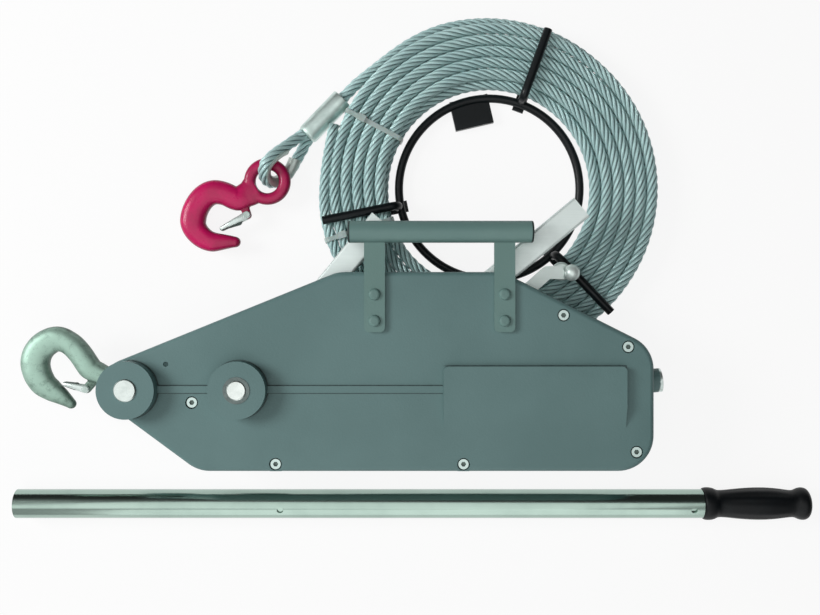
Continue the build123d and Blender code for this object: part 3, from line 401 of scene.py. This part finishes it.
def forged_bar(stations, level, nose, power):
    """Bar through stations of place, heading, width and depth: cubic spans along the headings, a
    superellipse across, and a quarter ellipse of the nose's length that rounds the point off."""
    table = np.array(stations, float)
    spot = table[:, :2] * mm
    way = np.stack([np.cos(np.radians(table[:, 2])), np.sin(np.radians(table[:, 2]))], 1)
    t = np.linspace(0, 1, 20, endpoint=False)[None, :, None]
    p0, p1 = spot[:-1, None], spot[1:, None]
    reach = np.linalg.norm(p1 - p0, axis=2, keepdims=True)
    m0, m1 = way[:-1, None] * reach, way[1:, None] * reach
    line = (2 * t**3 - 3 * t**2 + 1) * p0 + (t**3 - 2 * t**2 + t) * m0
    line = line + (3 * t**2 - 2 * t**3) * p1 + (t**3 - t**2) * m1
    line = np.concatenate([line.reshape(-1, 2), spot[-1:]])
    count = np.linspace(0, len(table) - 1, len(line))
    wide = np.interp(count, np.arange(len(table)), table[:, 3]) * mm
    deep = np.interp(count, np.arange(len(table)), table[:, 4]) * mm
    turn = np.linspace(0, math.pi / 2, 10)[1:-1]
    line = np.concatenate([line, spot[-1] + np.sin(turn)[:, None] * nose * mm * way[-1]])
    wide = np.concatenate([wide, wide[-1] * np.cos(turn)])
    deep = np.concatenate([deep, deep[-1] * np.cos(turn)])
    along = np.gradient(line, axis=0)
    along /= np.linalg.norm(along, axis=1, keepdims=True)
    across, over = squarish(section_angle, power)
    x = line[:, :1] - along[:, 1:] * wide[:, None] / 2 * across
    y = line[:, 1:] + along[:, :1] * wide[:, None] / 2 * across
    z = level * mm + deep[:, None] / 2 * over
    return outward(grid_mesh("bar", np.stack([x, y, z], -1)))


def forged_eye(centre, level, radius, width, depth, power):
    """Ring about a vertical axis: a superellipse section of the width and depth carried round a circle."""
    round_it = np.linspace(0, 2 * math.pi, 96, endpoint=False)[:, None]
    across, over = squarish(section_angle, power)
    reach = (radius + width / 2 * across) * mm
    x = centre[0] * mm + np.cos(round_it) * reach
    y = centre[1] * mm + np.sin(round_it) * reach
    z = (level + depth / 2 * over) * mm + 0 * round_it
    return outward(grid_mesh("eye", np.stack([x, y, z], -1), True))


def forging(name, shells, voxel, rounds, material, body, slot, node):
    """Closed shells fused by a fine voxel remesh, with their corners rolled over as in a die."""
    thing = piece(name, shells_in_one(name, shells), material, body, slot, node)
    fuse = thing.modifiers.new("fuse", "REMESH")
    fuse.mode = "VOXEL"
    fuse.voxel_size = voxel * mm
    fuse.use_smooth_shade = True
    roll = thing.modifiers.new("roll", "SMOOTH")
    roll.iterations = rounds
    bpy.context.view_layer.update()
    ready = thing.evaluated_get(bpy.context.evaluated_depsgraph_get())
    solid = bpy.data.meshes.new_from_object(ready)
    thing.modifiers.clear()
    thing.data = solid
    solid.materials.clear()
    solid.materials.append(material)
    solid.polygons.foreach_set("use_smooth", np.ones(len(solid.polygons), bool))


def scaled_zinc(name, colour, dark, roughness, level, deep):
    """Zinc over a forged skin: shallow hammer scale, fine pits, dull zinc in the hollows, and painted shade
    down the flanks, which are the parts nearer to the forging's mid plane than so many metres."""
    zinc = Finish(name, Metallic=0.5)
    scale = zinc.noise(150, 4)
    pits = zinc.noise(950, 3)
    hollow = zinc.spread(0.6 * scale + 0.4 * pits, 0.5, 0.32)
    off_plane = abs(zinc.split(zinc.place())[2] - level)
    # Painted shade: the zinc turns dark down the flanks, darkest nearest the mid plane.
    flank_shade = zinc.spread(off_plane + 0.003 * scale, deep, 0.35 * deep)
    tone = zinc.blend(0.45 * hollow + 0.12 * pits + 0.75 * flank_shade, tint(colour), tint(dark))
    return zinc.coat(tone, roughness + 0.14 * pits, scale + 0.3 * pits, 0.00022)


anchor_level = 56.5
anchor_latch_at = (-51.4, -2.0)
anchor_zinc = scaled_zinc("anchor_hook_zinc", "a3c2b3", "4f6459", 0.42, anchor_level * mm, 10.4 * mm)
anchor_stations = [
    (-12.0, 4.5, 160.0, 22.0, 17.0), (-36.4, 12.9, 147.0, 20.0, 18.0), (-48.8, 20.0, 125.0, 23.0, 20.0),
    (-60.2, 36.2, 131.0, 23.0, 20.5), (-69.8, 44.7, 151.0, 23.2, 21.0), (-81.0, 48.2, 183.0, 25.6, 21.0),
    (-93.2, 43.2, 216.0, 27.2, 21.0), (-100.8, 33.9, 243.0, 28.4, 21.0), (-103.0, 25.0, 266.0, 28.5, 21.0),
    (-100.9, 13.5, 289.0, 27.4, 20.5), (-95.3, 3.8, 309.0, 25.7, 19.5), (-86.0, -3.7, 323.0, 21.8, 17.5),
    (-75.8, -10.4, 324.0, 16.0, 14.0), (-67.2, -16.8, 321.0, 10.0, 10.5),
]
anchor_lug = [(-40.0, 11.0, 228.8, 9.0, 6.0), (*anchor_latch_at, 228.8, 9.0, 6.0)]
anchor_shells = [
    forged_bar(anchor_stations, anchor_level, 5.4, 2.6),
    forged_eye((0, 0), anchor_level, 17.2, 11.4, 17.6, 4.5),
    forged_bar(anchor_lug, anchor_level, 4.4, 5.0),
]
forging("anchor_hook_forging", anchor_shells, 0.85, 5, anchor_zinc, "anchor_hook", "forged_steel",
        "anchor_hook")


def pressed_strip(root, end, wide, narrow, low, high, edge=0.5):
    """Tapered strip with round ends: half circles of the two radii about the root and the end, carried up
    through four levels, the outer two drawn in by the edge's round."""
    way = np.array(end, float) - np.array(root, float)
    bearing = math.atan2(way[1], way[0])
    back = np.linspace(0.5, 1.5, 15) * math.pi + bearing
    fore = np.linspace(-0.5, 0.5, 15) * math.pi + bearing
    draw = np.array([edge, 0, 0, edge])[:, None]
    level = np.array([low, low + edge, high - edge, high])[:, None]
    x = np.concatenate([root[0] + (wide - draw) * np.cos(back), end[0] + (narrow - draw) * np.cos(fore)], 1)
    y = np.concatenate([root[1] + (wide - draw) * np.sin(back), end[1] + (narrow - draw) * np.sin(fore)], 1)
    return outward(grid_mesh("strip", np.stack([x, y, level + 0 * x], -1) * mm))


latch_zinc = plated("latch_zinc", "e4f0ec", "bac8c3", 0.3)
# The web is the cheeks' zinc in painted shade: the same finish in darker tones.
latch_web_shade = plated("latch_web_shaded_zinc", "5f6d69", "3c4744", 0.42)


def latch(name, root, end, level, thumb):
    """Latch as it is pressed: two bright narrow cheeks outside the hook's lug, turned up from a web in
    painted shade, which flares out beside them by so much where the thumb presses, on a rivet at the root."""
    way = (np.array(end) - np.array(root)) / math.dist(root, end)
    side = np.array([-way[1], way[0]])
    web_root = np.array(root) + 11.5 * way
    thumb_root = web_root - thumb * side
    thumb_end = np.array(end) - 7 * way
    cheeks = [pressed_strip(root, end, 3.9, 1.7, level + 3.3, level + 5.3),
              pressed_strip(root, end, 3.9, 1.7, level - 5.3, level - 3.3)]
    web = [pressed_strip(web_root, end, 3.6, 2.4, level - 3.2, level + 3.2),
           pressed_strip(thumb_root, thumb_end, 4.0, 3.0, level - 3.0, level + 0.5)]
    piece(name + "_cheeks", shells_in_one(name + "_cheeks", cheeks), latch_zinc, name, "zinc_steel", name)
    piece(name + "_web", shells_in_one(name + "_web", web), latch_web_shade, name, "zinc_steel")
    rivet_axis = (root[0] * mm, root[1] * mm)
    rivet_name = name.replace("latch", "rivet_steel")
    dress(turned_ends(rivet_name, "b4c3bd", "66746f", rivet_axis, 0.34), name + "_pin")


latch("anchor_latch", anchor_latch_at, (-72.5, 3.0), anchor_level, 0.0)

# Wire rope: six strands of fine galvanised wire laid round a core, 11 mm thick and nearly ten metres long,
# wound in and out again in two layers. Its end is turned back round a thimble and pressed in a ferrule.


def route(name, points, steps):
    """Points along one quadratic NURBS line through space, read from the curve itself."""
    curve = bpy.data.curves.new(name, "CURVE")
    curve.dimensions = "3D"
    spline = curve.splines.new("NURBS")
    spline.points.add(len(points) - 1)
    spline.points.foreach_set("co", np.c_[np.array(points) * mm, np.ones(len(points))].ravel())
    spline.order_u = 3
    spline.use_endpoint_u = True
    spline.resolution_u = steps
    carrier = bpy.data.objects.new(name, curve)
    mesh = bpy.data.meshes.new_from_object(carrier)
    line = np.empty(len(mesh.vertices) * 3)
    mesh.vertices.foreach_get("co", line)
    bpy.data.objects.remove(carrier)
    bpy.data.curves.remove(curve)
    bpy.data.meshes.remove(mesh)
    return line.reshape(-1, 3)


wires_a_strand = 12
strand_half_turn = math.radians(116)


def laid_rope(name, line, up, radius, lay):
    """Six strand circles, each a third of the rope across, carried along a line and turned once in each
    lay. The map gives the wires' count round a strand, which run along the rope, and a groove's depth."""
    along = np.gradient(line, axis=0)
    along /= np.linalg.norm(along, axis=1, keepdims=True)
    side = np.cross(up, along)
    side /= np.linalg.norm(side, axis=1, keepdims=True)
    over = np.cross(along, side)
    run = np.concatenate([[0], np.cumsum(np.linalg.norm(np.diff(line, axis=0), axis=1))])
    strand = np.arange(6)[:, None] * math.pi / 3
    bead = np.linspace(-strand_half_turn, strand_half_turn, 5)[None, :]
    flat_x = (2 / 3 * np.cos(strand) + np.cos(strand + bead) / 3).ravel() * radius
    flat_y = (2 / 3 * np.sin(strand) + np.sin(strand + bead) / 3).ravel() * radius
    turn = (2 * math.pi * run / lay)[:, None]
    x = flat_x * np.cos(turn) - flat_y * np.sin(turn)
    y = flat_x * np.sin(turn) + flat_y * np.cos(turn)
    grid = line[:, None] + side[:, None] * x[..., None] + over[:, None] * y[..., None]
    wires = (bead / (2 * math.pi) * wires_a_strand + strand * 0).ravel()
    groove = (np.abs(bead) / strand_half_turn + strand * 0).ravel()
    slant = wires_a_strand * (4 * math.pi / 3 * radius / lay) / (2 * math.pi * radius / 3)
    u = np.append(wires, wires[0])[None, :] + slant * run[:, None]
    v = np.append(groove, groove[0])[None, :] + 0 * run[:, None]
    return grid_mesh(name, grid, False, np.stack([u, v], -1)), float(run[-1])


wire = Finish("galvanised_wire", Metallic=0.35)
wires, groove, _ = wire.split(wire.node("ShaderNodeUVMap", {"uv_map": "lay"}))
crown = (wires * (2 * math.pi)).wave()
shadow = wire.spread(groove, 0.42, 1.0)
weather = wire.spread(wire.noise(32, 4), 0.35, 0.7)
fleck = wire.noise(1500, 2)
lit = wire.blend(0.5 * weather + 0.25 * fleck, tint("d4f6f4"), tint("b4d8d8"))
wire.coat(wire.blend(shadow * 0.72 + (0.08 - 0.08 * crown), lit, tint("2a4246")),
          0.32 + 0.16 * weather + 0.1 * shadow, crown, 0.00012)

strand_reach = 6.05 * mm
rope_lay = 58 * mm
ferrule_from = np.array([165.6, 260.9, 11.8])
ferrule_to = np.array([203.4, 300.2, 11.8])
rope_heading = math.atan2(ferrule_to[1] - ferrule_from[1], ferrule_to[0] - ferrule_from[0])
rope_out = np.array([math.cos(rope_heading), math.sin(rope_heading), 0])

coil_at = (358.5, 205.6)
coil_inner = 108.025
coil_pitch = 11.9
coil_turns = 10.92
coil_turn_back = 5.25
coil_start = 136
end_radius = 175.6
end_bearing = 158
coil_level = 9.0
coil_layer = 11.5
lead_widening = 6.9
half_turn = 0.5
steps_a_turn = 16
swell = 1 / math.cos(math.pi / steps_a_turn)


def coil_spot(away, bearing, level):
    """Point so far from the coil's middle on a bearing in degrees, at a level."""
    angle = math.radians(bearing)
    return coil_at[0] + away * math.cos(angle), coil_at[1] + away * math.sin(angle), level


coil_route = [ferrule_to, ferrule_to + 11 * rope_out, ferrule_to + 24 * rope_out - (0, 0, 0.6)]
for step in range(1, int(coil_turns * steps_a_turn) + 1):
    turn = step / steps_a_turn
    climb = min(max((turn - coil_turn_back) / half_turn + 0.5, 0), 1)
    spiral = coil_inner + coil_pitch * abs(turn - coil_turn_back)
    away = spiral + lead_widening * max(0, 1 - turn / half_turn)
    rise = coil_layer * climb * climb * (3 - 2 * climb)
    coil_route.append(coil_spot(away * swell, coil_start - 360 * turn, coil_level + rise))
coil_route.append(coil_spot(end_radius, end_bearing, coil_level + coil_layer))
coil_line = route("coil_route", coil_route, 18)
coil_mesh, coil_length = laid_rope("rope_coil_strands", coil_line, (0, 0, 1), strand_reach, rope_lay)
coil = piece("rope_coil_strands", coil_mesh, wire.material, "rope_set", "galvanised_rope", "rope_coil")

eye_heading = rope_heading + math.radians(184)
eye_in = np.array([math.cos(eye_heading), math.sin(eye_heading), 0])
eye_lean = math.radians(55)
eye_middle = 46
eye_rise = np.array([0, 0, 9.3])
eye_widths = ((12, 8.6), (24, 12.0), (36, 16.2), (46, 17.5), (53.0, 17.0), (63.0, 7.04))


def leaning(x, y):
    """Direction across the rope on the floor, tipped up by the eye's lean."""
    return np.array([x * math.cos(eye_lean), y * math.cos(eye_lean), math.sin(eye_lean)])


eye_across = leaning(math.sin(eye_heading), -math.cos(eye_heading))
leg_across = leaning(-math.sin(rope_heading), math.cos(rope_heading))
eye_half = [(ferrule_from + along * eye_in + eye_rise * min(along / eye_middle, 1), across)
            for along, across in eye_widths]
eye_route = [ferrule_from + 5.6 * leg_across, ferrule_from - 6 * rope_out + 5.7 * leg_across]
eye_route += [spot + across * eye_across for spot, across in eye_half]
eye_route += [spot - across * eye_across for spot, across in eye_half[::-1]]
eye_route += [ferrule_from - 6 * rope_out - 5.7 * leg_across, ferrule_from - 5.6 * leg_across]
eye_line = route("eye_route", eye_route, 10)
eye_up = np.cross(eye_in, eye_across)
eye_mesh, eye_length = laid_rope("rope_eye_strands", eye_line, eye_up, strand_reach, rope_lay)
eye = piece("rope_eye_strands", eye_mesh, wire.material, "rope_set", "galvanised_rope", "rope_eye")


def turned(name, profile, start, axis, count, flute=None):
    """Solid of revolution: a profile of distance along an axis and radius, turned about it. A flute, if
    any, lowers the radius by a cosine of the angle, by so much at each profile point."""
    keys = np.array(profile, float) * mm
    axis = np.array(axis, float) / np.linalg.norm(axis)
    side = np.cross((0, 0, 1), axis)
    side /= np.linalg.norm(side)
    over = np.cross(axis, side)
    angle = np.linspace(0, 2 * math.pi, count, endpoint=False)
    radius = keys[:, 1:] + 0 * angle
    if flute is not None:
        number, depth = flute
        radius = radius - np.array(depth)[:, None] * mm * (0.5 - 0.5 * np.cos(number * angle))
    grid = np.array(start) * mm + keys[:, :1, None] * axis
    grid = grid + radius[..., None] * (np.cos(angle)[:, None] * side + np.sin(angle)[:, None] * over)
    return outward(grid_mesh(name, grid))


ferrule_metal = machined("ferrule_aluminium", "e2f3ee", "b4c7c1", 0.36, 1100, (0, 0, -rope_heading))
ferrule_length = float(np.linalg.norm(ferrule_to - ferrule_from))
sleeve_radius = 11.3
sleeve_mouth = [(0, 5.0), (0, 8.6), (0.3, 9.4), (1.2, 10.5), (2.6, 11.1), (4.5, sleeve_radius)]
sleeve_side = [(7.0, sleeve_radius)]
sleeve_side += [(ferrule_length * part, sleeve_radius) for part in (0.3, 0.5, 0.7, 0.85)]
sleeve_tail = ((1.0, sleeve_radius), (0.4, 11.2), (0.0, 10.7), (0.0, 5.0))
sleeve_keys = sleeve_mouth + sleeve_side + [(ferrule_length - gap, radius) for gap, radius in sleeve_tail]
ferrule = piece("ferrule_sleeve", turned("ferrule_sleeve", sleeve_keys, ferrule_from, rope_out, 64),
                ferrule_metal, "rope_set", "ferrule_aluminium", "rope_ferrule")
dress(plated("thimble_zinc", "c6d2cc", "8d9893", 0.32), "rope_thimble")

# Load hook on the rope's eye: a second drop forging with a round ring, painted crimson in one thick glossy
# coat that has settled into soft edges, with shade painted down its flanks. Its latch has bright zinc
# cheeks on a plain rivet.

load_level = 19.626
load_latch_at = (104.5, 176.6)
load_ring_at = (125.442, 211.85)
crimson = Finish("crimson_gloss", Coat_Roughness=0.16, Specular_IOR_Level=0.3, Sheen_Weight=0.08,
                 Sheen_Roughness=0.45, Sheen_Tint=(0.95, 0.2, 0.7, 1))
settled = crimson.spread(crimson.noise(60, 3), 0.3, 0.7)
scale = crimson.noise(170, 3)
pits = crimson.noise(800, 2)
# Painted shade: the crimson darkens down the flanks towards the forging's mid plane.
off_plane = abs(crimson.split(crimson.place())[2] - load_level * mm)
flank_shade = crimson.spread(off_plane + 0.002 * scale, 8.6 * mm, 3 * mm)
bright_red = crimson.blend(0.6 * settled + 0.25 * pits, tint("d01562"), tint("b01050"))
crimson.coat(crimson.blend(0.75 * flank_shade, bright_red, tint("6a0828")), 0.27 + 0.12 * settled,
             scale + 0.25 * pits, 0.0002)
crimson.feed(crimson.shader.inputs["Coat Weight"], 0.1 + 0.15 * settled)
load_stations = [
    (114.6, 205.5, 209.0, 33.0, 11.0), (104.0, 198.2, 205.0, 26.5, 12.5), (92.8, 193.6, 165.0, 24.0, 16.0),
    (81.0, 199.0, 163.0, 24.5, 18.0), (70.7, 200.6, 183.0, 25.5, 19.0),
    (47.8, 170.8, 268.0, 27.0, 20.0), (69.9, 148.6, 358.0, 20.4, 17.0), (91.4, 148.6, 356.0, 11.5, 11.5),
]
load_lug = [(100.0, 190.0, 288.7, 9.0, 6.0), (*load_latch_at, 288.5, 9.0, 6.0)]
load_shells = [
    forged_bar(load_stations, load_level, 6.2, 2.5),
    forged_eye(load_ring_at, load_level, 18.3, 12.4, 11.0, 2.3),
    forged_bar(load_lug, load_level, 4.4, 5.0),
]
forging("load_hook_forging", load_shells, 0.8, 5, crimson.material, "load_hook", "red_paint", "load_hook")
latch("load_latch", load_latch_at, (78.5, 162.6), load_level, -1.4)

# Reel that the rope is wound on: flat arms, an inner ring and bent rods welded together and dipped in black
# paint, with a folded tab, and two translucent nylon ties drawn round the turns.

dress(moulded("reel_black", "0a0f11", "1a2124", 0.3, 900), "rope_reel", "reel_tab")
nylon = Finish("tie_nylon", Alpha=0.7, Subsurface_Weight=0.15)
milky = nylon.spread(nylon.noise(70, 3), 0.3, 0.7)
nylon.coat(nylon.blend(milky, tint("c9d5d1"), tint("b4c3be")), 0.28 + 0.15 * milky, nylon.noise(1500, 2),
           0.00003)
dress(nylon.material, "cable_ties")

# Operating lever: two polished steel tubes that slide in one another, drawn bright along their length,
# with a sprung button that locks them and a moulded black rubber grip on the inner tube's end.

drawn = Finish("drawn_tube", Metallic=1.0)
streak = drawn.noise(1, 3, drawn.place(scale=(4, 420, 420)))
cloud = drawn.spread(drawn.noise(14, 4), 0.4, 0.75)
drawn.coat(drawn.blend(0.35 * cloud + 0.25 * streak, tint("a9beb4"), tint("869b92")),
           0.12 + 0.08 * streak + 0.06 * cloud, streak, 0.00001)
dress(drawn.material, "operating_tube_outer", "operating_tube_inner", "lock_button")
grip_start = (580.3, -125.5, 17.1)
grip_keys = [
    (108, 0.05), (108, 12.95), (0, 12.95), (0, 14.4), (0.8, 15.9), (2.6, 16.8), (6.0, 17.0), (9.6, 16.7),
    (12.4, 15.9), (14.4, 14.8), (16.2, 14.1), (19.0, 13.95), (24.0, 14.3), (32.0, 15.2), (42.0, 16.2),
    (52.0, 16.8), (61.0, 16.95), (70.0, 16.7), (79.0, 15.9), (87.0, 14.7), (92.0, 14.0), (95.0, 13.95),
    (97.4, 14.6), (99.6, 15.8), (102.4, 16.7), (105.6, 16.95), (108.4, 16.2), (110.6, 14.2), (112.0, 10.8),
    (112.6, 6.0), (112.7, 0.05),
]
flute_count = 12
flute_depths = [0] * 12 + [0.15, 0.3, 0.35, 0.35, 0.35, 0.35, 0.3, 0.15] + [0] * 11
grip_rubber = moulded("grip_rubber", "04070a", "0e1518", 0.4, 1800)
grip_mesh = turned("grip_moulding", grip_keys, grip_start, (1, 0, 0), 120, (flute_count, flute_depths))
grip = piece("grip_moulding", grip_mesh, grip_rubber, "operating_inner", "grip_rubber", "operating_grip")
rounded = grip.modifiers.new("rounded", "SUBSURF")
rounded.levels = 1
rounded.render_levels = 1

# A soft lamp overhead, a window and a low reflector light it, with the camera straight above.

table = Finish("white_table", Roughness=0.9)
table.coat((0.9, 0.9, 0.9, 1))
seen_by = ("Is Camera Ray", "Is Glossy Ray", "Is Transmission Ray")
seen = sum(table.node("ShaderNodeLightPath", output=ray) for ray in seen_by)
white = table.node("ShaderNodeEmission", inputs={"Color": (1, 1, 1, 1), "Strength": 1.0})
matt = Wire(table, table.shader.outputs[0])
lit_table = table.node("ShaderNodeMixShader", inputs={0: 0.88 * seen, 1: matt, 2: white})
table.feed(table.tree.nodes["Material Output"].inputs["Surface"], lit_table)
bpy.ops.mesh.primitive_plane_add(size=12, location=(0.27, 0.08, 0))
floor = bpy.context.object
floor.name = "table_top"
floor.data.materials.append(table.material)


def lamp(name, place, aim, size, power, diffuse=True):
    """Square soft lamp that points at a spot."""
    light = bpy.data.lights.new(name, "AREA")
    light.size = size
    light.energy = power
    holder = bpy.data.objects.new(name, light)
    holder.location = place
    way = np.array(aim) - np.array(place)
    tilt = math.atan2(math.hypot(way[0], way[1]), -way[2])
    holder.rotation_euler = (tilt, 0, math.atan2(way[1], way[0]) - math.pi / 2)
    holder.visible_diffuse = diffuse
    bpy.context.collection.objects.link(holder)


lamp("overhead", (0.1, -0.35, 2.2), (0.2, 0.0, 0), 2.2, 13.5)
lamp("window", (-1.4, 0.45, 1.25), (0.2, 0.08, 0), 0.8, 24)
lamp("reflector", (0.27, -1.5, 0.7), (0.27, 0, 0.03), 1.6, 8, False)


class Studio(Finish):
    """The world's own nodes, with the same wires as a finish."""

    def __init__(self, name):
        world = bpy.data.worlds.new(name)
        world.use_nodes = True
        self.tree = world.node_tree
        self.shader = self.tree.nodes["Background"]
        bpy.context.scene.world = world


studio = Studio("studio")
bright_side = (-0.5, -0.62, 0.6)
bearing = studio.node("ShaderNodeTexCoord", output="Generated")
facing = studio.node("ShaderNodeVectorMath", {"operation": "DOT_PRODUCT"}, {0: bearing, 1: bright_side}, 1)
studio.feed(studio.shader.inputs["Color"], (1, 1, 1, 1))
studio.feed(studio.shader.inputs["Strength"], 0.03 + 0.42 * studio.spread(facing, 0.0, 0.8))

photo_width = 820
focal_pixels = 985
sensor_width = 36
lens = bpy.data.cameras.new("photo_camera")
lens.lens = focal_pixels / photo_width * sensor_width
lens.sensor_width = sensor_width
camera = bpy.data.objects.new("photo_camera", lens)
camera.location = (0.2746, 0.08005, 1.05)
bpy.context.collection.objects.link(camera)
bpy.context.scene.camera = camera
bpy.context.scene.view_settings.view_transform = "Standard"

bpy.context.view_layer.update()
